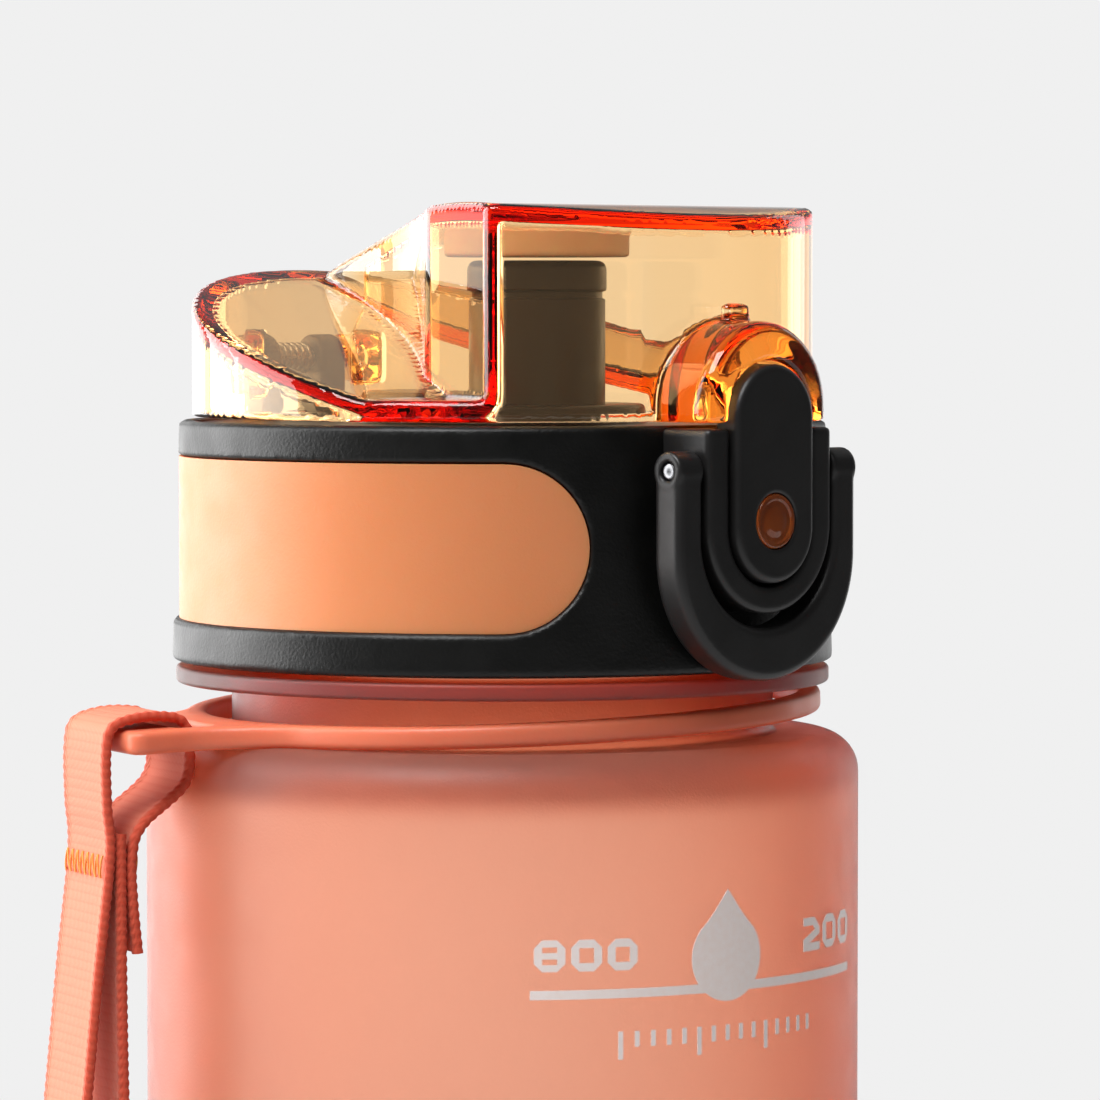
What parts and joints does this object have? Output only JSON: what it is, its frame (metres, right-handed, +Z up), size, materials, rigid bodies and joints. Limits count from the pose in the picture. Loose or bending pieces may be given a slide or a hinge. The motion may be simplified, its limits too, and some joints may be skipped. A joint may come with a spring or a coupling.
{
  "type": "sports bottle with flip-top lid",
  "caption": "Rigid frosted drinking bottle with a screw lid, clear flip cover over a spout, push-button latch, lock bail and a webbing carry strap.",
  "frame": {"origin": "centre of the base, on the plane that the bottle stands on", "axes": "+Z up along the bottle's axis, -Y towards the latch, +Y towards the cover's hinge"},
  "size_m": [0.1048, 0.0886, 0.265],
  "materials": {
    "frosted_body": "frosted translucent",
    "strap_ring_plastic": "satin",
    "lid_core_plastic": "milky translucent",
    "black_grip": "fine grain",
    "black_plastic": "satin",
    "cover_plastic": "clear orange",
    "silicone": "soft matte",
    "amber_disc": "clear",
    "steel": "bright",
    "webbing": "woven",
    "stitching": "thread"
  },
  "bodies": {
    "bottle": {"bottle_body": "frosted_body"},
    "lid_lift": {"neck_gasket": "silicone"},
    "lid": {"lid_core": "lid_core_plastic", "grip_sleeve": "black_grip", "top_deck": "black_plastic", "spout": "black_plastic", "spout_gasket": "silicone", "latch_housing": "black_plastic", "latch_pin": "steel", "button_spring": "steel", "hinge_bracket": "black_plastic", "hinge_pin": "steel", "hinge_spring": "steel"},
    "button": {"release_button": "black_plastic", "button_disc": "amber_disc"},
    "bail": {"lock_bail": "black_plastic"},
    "cover": {"flip_cover": "cover_plastic", "spout_plug": "silicone"},
    "ring": {"strap_ring": "strap_ring_plastic", "strap_wrap": "webbing"},
    "strap": {"strap_loop": "webbing", "strap_stitching": "stitching"}
  },
  "joints": [
    {"name": "lid_rise", "type": "slide", "parent": "bottle", "child": "lid_lift", "axis": [0, 0, 1], "range_m": [0, 0.00675]},
    {"name": "lid_turn", "type": "hinge", "parent": "lid_lift", "child": "lid", "pos_m": [0, 0, 0], "axis": [0, 0, 1], "range_deg": [0, 541]},
    {"name": "cover_flip", "type": "hinge", "parent": "lid", "child": "cover", "pos_m": [0, 0.0402, 0.24501], "axis": [-1, 0, 0], "range_deg": [0, 115]},
    {"name": "button_press", "type": "hinge", "parent": "lid", "child": "button", "pos_m": [0, -0.04215, 0.23451], "axis": [1, 0, 0], "range_deg": [0, 5], "stiffness_Nm_per_rad": 0.2, "springref_deg": -2.86, "deforming": ["button_spring"]},
    {"name": "bail_swing", "type": "hinge", "parent": "lid", "child": "bail", "pos_m": [0, -0.04215, 0.23451], "axis": [-1, 0, 0], "range_deg": [0, 180]},
    {"name": "ring_spin", "type": "hinge", "parent": "bottle", "child": "ring", "pos_m": [0, 0, 0], "axis": [0, 0, 1], "continuous": true},
    {"name": "strap_swing", "type": "hinge", "parent": "ring", "child": "strap", "pos_m": [-0.04888, 0.01588, 0.18971], "axis": [0.309, 0.9511, 0], "range_deg": [-1.5, 85]}
  ],
  "couplings": [
    {"joint": "lid_turn", "follows": "lid_rise", "rad_per_m": 1396.3}
  ]
}
